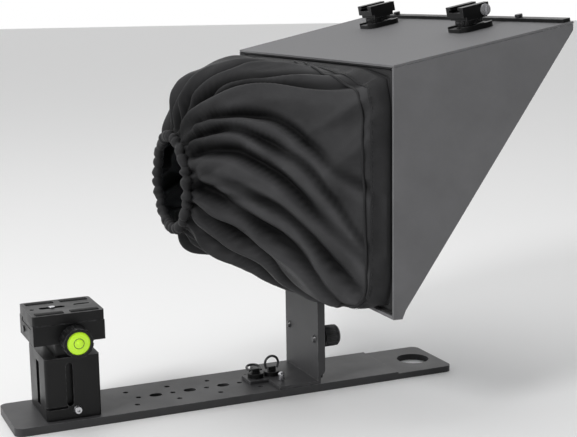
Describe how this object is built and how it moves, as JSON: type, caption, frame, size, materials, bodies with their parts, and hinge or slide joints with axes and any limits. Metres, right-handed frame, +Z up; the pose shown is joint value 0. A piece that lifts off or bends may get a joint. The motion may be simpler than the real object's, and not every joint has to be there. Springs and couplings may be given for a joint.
{
  "type": "camera teleprompter",
  "caption": "Camera teleprompter: long base plate with a quick-release camera riser, upright, flared hood with sloping beam-splitter glass and a gathered cloth shroud.",
  "frame": {"origin": "on the base plate's underside, where it rests, midway across it and below its middle to within 2 mm", "axes": "+X along the base plate towards the presenter, +Y to the camera operator's left, +Z up"},
  "size_m": [0.487, 0.3982, 0.3848],
  "materials": {
    "anodised": "dark grey bead-blasted anodising",
    "black_metal": "satin black anodising",
    "powder_coat": "fine matt grey-black powder coat",
    "steel": "bright turned steel",
    "dark_steel": "black oxide",
    "rubber": "matt ribbed rubber",
    "level": "clear acrylic vial with green liquid",
    "glass": "partly mirrored beam-splitter coating",
    "cloth": "soft black light-proof cloth",
    "hook_tape": "woven hook-and-loop tape"
  },
  "bodies": {
    "base": {"base_plate": "anodised", "riser_housing": "black_metal", "riser_bolt_rear": "dark_steel", "riser_bolt_front": "dark_steel", "upright_bracket": "anodised", "guide_screw_left": "dark_steel", "guide_screw_right": "dark_steel", "foot_pin": "steel"},
    "riser_lift": {"riser_column": "black_metal", "clamp_body": "black_metal", "plate_stop_screw": "dark_steel"},
    "riser_lock": {"riser_lock_screw": "steel"},
    "jaw": {"clamp_jaw": "black_metal"},
    "knob": {"clamp_knob": "black_metal", "bubble_level": "level"},
    "camera_plate": {"quick_release_plate": "black_metal", "rubber_strip_1": "rubber", "rubber_strip_2": "rubber", "rubber_strip_3": "rubber", "rubber_strip_4": "rubber"},
    "camera_bolt": {"camera_screw": "steel"},
    "mast_lock": {"mast_lock_knob": "anodised"},
    "foot_bolt_rear": {"foot_screw_rear": "black_metal"},
    "foot_bolt_middle": {"foot_screw_middle": "black_metal"},
    "ring_rear": {"foot_ring_rear": "dark_steel"},
    "ring_middle": {"foot_ring_middle": "dark_steel"},
    "hood": {"hood_mast": "black_metal", "mast_bolt_left": "dark_steel", "mast_bolt_right": "dark_steel", "hood_top_panel": "powder_coat", "hood_side_left": "powder_coat", "hood_side_right": "powder_coat", "hood_bottom_rail": "powder_coat", "hook_strip_top": "hook_tape", "hook_strip_bottom": "hook_tape", "hook_strip_left": "hook_tape", "hook_strip_right": "hook_tape", "beam_splitter_glass": "glass", "glass_rail_bottom": "black_metal", "glass_rail_top": "black_metal", "glass_rail_left": "black_metal", "glass_rail_right": "black_metal", "front_bar": "black_metal", "shoe_base_left": "black_metal", "shoe_base_right": "black_metal", "shoe_bolt_left": "dark_steel", "shoe_bolt_right": "dark_steel", "shroud": "cloth", "shroud_cuff": "cloth"},
    "front_knob_left": {"front_screw_left": "dark_steel"},
    "front_knob_right": {"front_screw_right": "dark_steel"},
    "wheel_left": {"shoe_wheel_left": "black_metal"},
    "wheel_right": {"shoe_wheel_right": "black_metal"},
    "block_left": {"shoe_block_left": "black_metal"},
    "block_right": {"shoe_block_right": "black_metal"},
    "shoe_lock_left": {"shoe_screw_left": "steel"},
    "shoe_lock_right": {"shoe_screw_right": "steel"}
  },
  "joints": [
    {"name": "riser_height", "type": "slide", "parent": "base", "child": "riser_lift", "axis": [0, 0, 1], "range_m": [0, 0.03]},
    {"name": "riser_lock_turn", "type": "hinge", "parent": "base", "child": "riser_lock", "pos_m": [-0.1686, -0.034, 0.0165], "axis": [0, 1, 0], "range_deg": [0, 720]},
    {"name": "jaw_open", "type": "slide", "parent": "riser_lift", "child": "jaw", "axis": [0, -1, 0], "range_m": [0, 0.003]},
    {"name": "knob_turn", "type": "hinge", "parent": "jaw", "child": "knob", "pos_m": [-0.168, -0.04, 0.0834], "axis": [0, 1, 0], "range_deg": [0, 720]},
    {"name": "plate_slide", "type": "slide", "parent": "riser_lift", "child": "camera_plate", "axis": [1, 0, 0], "range_m": [-0.025, 0.025]},
    {"name": "camera_screw_turn", "type": "hinge", "parent": "camera_plate", "child": "camera_bolt", "pos_m": [-0.181, 0, 0.1], "axis": [0, 0, 1], "continuous": true},
    {"name": "hood_height", "type": "slide", "parent": "base", "child": "hood", "axis": [0, 0, 1], "range_m": [0, 0.025]},
    {"name": "mast_lock_turn", "type": "hinge", "parent": "base", "child": "mast_lock", "pos_m": [0.11, 0, 0.0447], "axis": [1, 0, 0], "range_deg": [0, 720]},
    {"name": "foot_screw_rear_turn", "type": "hinge", "parent": "base", "child": "foot_bolt_rear", "pos_m": [0.0238, 0, 0.0116], "axis": [0, 0, 1], "range_deg": [-30, 210]},
    {"name": "foot_screw_middle_turn", "type": "hinge", "parent": "base", "child": "foot_bolt_middle", "pos_m": [0.0415, 0, 0.0116], "axis": [0, 0, 1], "continuous": true},
    {"name": "ring_rear_fold", "type": "hinge", "parent": "foot_bolt_rear", "child": "ring_rear", "pos_m": [0.0238, 0, 0.0185], "axis": [1, 0, 0], "range_deg": [-6, 78]},
    {"name": "ring_middle_fold", "type": "hinge", "parent": "foot_bolt_middle", "child": "ring_middle", "pos_m": [0.0415, 0, 0.0185], "axis": [1, 0, 0], "range_deg": [0, 84]},
    {"name": "front_screw_left_turn", "type": "hinge", "parent": "hood", "child": "front_knob_left", "pos_m": [0.2532, 0.121, 0.36604], "axis": [-0.192, 0, 0.9814], "continuous": true},
    {"name": "front_screw_right_turn", "type": "hinge", "parent": "hood", "child": "front_knob_right", "pos_m": [0.2532, -0.121, 0.36604], "axis": [-0.192, 0, 0.9814], "continuous": true},
    {"name": "shoe_wheel_left_turn", "type": "hinge", "parent": "hood", "child": "wheel_left", "pos_m": [0.2158, 0.094, 0.35873], "axis": [-0.192, 0, 0.9814], "continuous": true},
    {"name": "shoe_wheel_right_turn", "type": "hinge", "parent": "hood", "child": "wheel_right", "pos_m": [0.2158, -0.094, 0.35873], "axis": [-0.192, 0, 0.9814], "continuous": true},
    {"name": "shoe_left_swivel", "type": "hinge", "parent": "hood", "child": "block_left", "pos_m": [0.2158, 0.094, 0.35873], "axis": [-0.192, 0, 0.9814], "range_deg": [-90, 90]},
    {"name": "shoe_right_swivel", "type": "hinge", "parent": "hood", "child": "block_right", "pos_m": [0.2158, -0.094, 0.35873], "axis": [-0.192, 0, 0.9814], "range_deg": [-90, 90]},
    {"name": "shoe_screw_left_turn", "type": "hinge", "parent": "block_left", "child": "shoe_lock_left", "pos_m": [0.22096, 0.108, 0.37734], "axis": [0, 1, 0], "continuous": true},
    {"name": "shoe_screw_right_turn", "type": "hinge", "parent": "block_right", "child": "shoe_lock_right", "pos_m": [0.22096, -0.108, 0.37734], "axis": [0, 1, 0], "continuous": true}
  ],
  "couplings": [
    {"joint": "jaw_open", "follows": "knob_turn", "m_per_rad": 0.00023873}
  ]
}
